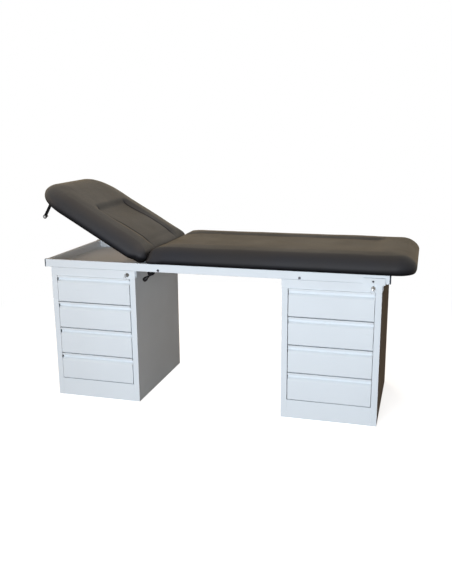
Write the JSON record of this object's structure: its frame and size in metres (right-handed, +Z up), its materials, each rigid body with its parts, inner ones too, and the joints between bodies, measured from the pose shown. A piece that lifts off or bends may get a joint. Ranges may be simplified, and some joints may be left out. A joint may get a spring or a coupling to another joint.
{
  "type": "examination couch",
  "caption": "Padded examination couch with a tilting backrest, on a steel tube frame over two drawer cabinets with locks.",
  "frame": {"origin": "on the floor under the middle of the couch's box, with the backrest raised as pictured", "axes": "+X along the couch towards its foot end, +Y away from the drawers' fronts, +Z up"},
  "size_m": [1.879, 0.6686, 1.1009],
  "materials": {
    "black_coat": "black satin coat",
    "bright_steel": "bright plain steel",
    "chrome": "polished chrome plate",
    "dark_grey_plastic": "dark blue-grey moulded plastic",
    "dark_vinyl": "near-black upholstery vinyl over foam, fine grain, soft sheen",
    "gloss_black_plastic": "glossy black moulded plastic",
    "plywood": "plain birch plywood",
    "white_powder_coat": "smooth satin powder coat, bluish white",
    "zinc_plate": "satin zinc-plated sheet steel"
  },
  "bodies": {
    "couch": {"accessory_plate": "white_powder_coat", "cross_rail_foot": "white_powder_coat", "cross_rail_head": "white_powder_coat", "foot_rail": "white_powder_coat", "front_rail": "white_powder_coat", "front_rail_cap_foot": "dark_grey_plastic", "front_rail_cap_head": "dark_grey_plastic", "head_rail": "white_powder_coat", "hinge_pin_front": "bright_steel", "hinge_pin_rear": "bright_steel", "hinge_plate": "white_powder_coat", "left_cabinet_base": "white_powder_coat", "left_cabinet_top": "white_powder_coat", "left_cabinet_wrapper": "white_powder_coat", "left_lock_barrel": "chrome", "lever_bracket": "bright_steel", "rear_rail": "white_powder_coat", "rear_rail_cap_foot": "dark_grey_plastic", "rear_rail_cap_head": "dark_grey_plastic", "right_cabinet_base": "white_powder_coat", "right_cabinet_top": "white_powder_coat", "right_cabinet_wrapper": "white_powder_coat", "right_lock_barrel": "chrome", "seat_board": "plywood", "seat_pad": "dark_vinyl", "tie_bolt_foot": "bright_steel", "tie_bolt_head": "bright_steel"},
    "left_drawer_1": {"left_drawer_1_front": "white_powder_coat", "left_drawer_1_box": "zinc_plate"},
    "left_drawer_2": {"left_drawer_2_front": "white_powder_coat", "left_drawer_2_box": "zinc_plate"},
    "left_drawer_3": {"left_drawer_3_front": "white_powder_coat", "left_drawer_3_box": "zinc_plate"},
    "left_drawer_4": {"left_drawer_4_front": "white_powder_coat", "left_drawer_4_box": "zinc_plate"},
    "left_lock": {"left_lock_plug": "bright_steel", "left_key": "bright_steel", "left_key_ring": "bright_steel"},
    "right_drawer_1": {"right_drawer_1_front": "white_powder_coat", "right_drawer_1_box": "zinc_plate"},
    "right_drawer_2": {"right_drawer_2_front": "white_powder_coat", "right_drawer_2_box": "zinc_plate"},
    "right_drawer_3": {"right_drawer_3_front": "white_powder_coat", "right_drawer_3_box": "zinc_plate"},
    "right_drawer_4": {"right_drawer_4_front": "white_powder_coat", "right_drawer_4_box": "zinc_plate"},
    "right_lock": {"right_lock_plug": "bright_steel", "right_key": "bright_steel", "right_key_ring": "bright_steel"},
    "backrest": {"backrest_pad": "dark_vinyl", "backrest_board": "plywood", "hinge_arm_front": "bright_steel", "hinge_arm_rear": "bright_steel", "brake_disc": "bright_steel", "paper_roll_arm_front": "black_coat", "paper_roll_arm_rear": "black_coat", "paper_roll_rod": "bright_steel"},
    "lever": {"release_lever": "black_coat", "lever_knob": "gloss_black_plastic", "brake_shoe": "black_coat"}
  },
  "joints": [
    {"name": "left_drawer_1_slide", "type": "slide", "parent": "couch", "child": "left_drawer_1", "axis": [0, -1, 0], "range_m": [0, 0.45]},
    {"name": "left_drawer_2_slide", "type": "slide", "parent": "couch", "child": "left_drawer_2", "axis": [0, -1, 0], "range_m": [0, 0.45]},
    {"name": "left_drawer_3_slide", "type": "slide", "parent": "couch", "child": "left_drawer_3", "axis": [0, -1, 0], "range_m": [0, 0.45]},
    {"name": "left_drawer_4_slide", "type": "slide", "parent": "couch", "child": "left_drawer_4", "axis": [0, -1, 0], "range_m": [0, 0.45]},
    {"name": "left_lock_turn", "type": "hinge", "parent": "couch", "child": "left_lock", "pos_m": [-0.44646, -0.29975, 0.669], "axis": [0, 1, 0], "range_deg": [0, 90]},
    {"name": "right_drawer_1_slide", "type": "slide", "parent": "couch", "child": "right_drawer_1", "axis": [0, -1, 0], "range_m": [0, 0.45]},
    {"name": "right_drawer_2_slide", "type": "slide", "parent": "couch", "child": "right_drawer_2", "axis": [0, -1, 0], "range_m": [0, 0.45]},
    {"name": "right_drawer_3_slide", "type": "slide", "parent": "couch", "child": "right_drawer_3", "axis": [0, -1, 0], "range_m": [0, 0.45]},
    {"name": "right_drawer_4_slide", "type": "slide", "parent": "couch", "child": "right_drawer_4", "axis": [0, -1, 0], "range_m": [0, 0.45]},
    {"name": "right_lock_turn", "type": "hinge", "parent": "couch", "child": "right_lock", "pos_m": [0.75354, -0.29975, 0.669], "axis": [0, 1, 0], "range_deg": [0, 90]},
    {"name": "backrest_tilt", "type": "hinge", "parent": "couch", "child": "backrest", "pos_m": [-0.38446, 0.01025, 0.7716], "axis": [0, 1, 0], "range_deg": [-30.4, 33]},
    {"name": "release_lever", "type": "hinge", "parent": "couch", "child": "lever", "pos_m": [-0.32446, -0.29975, 0.6796], "axis": [0, 1, 0], "range_deg": [-7, 0], "stiffness_Nm_per_rad": 0.6, "springref_deg": 20.05}
  ]
}
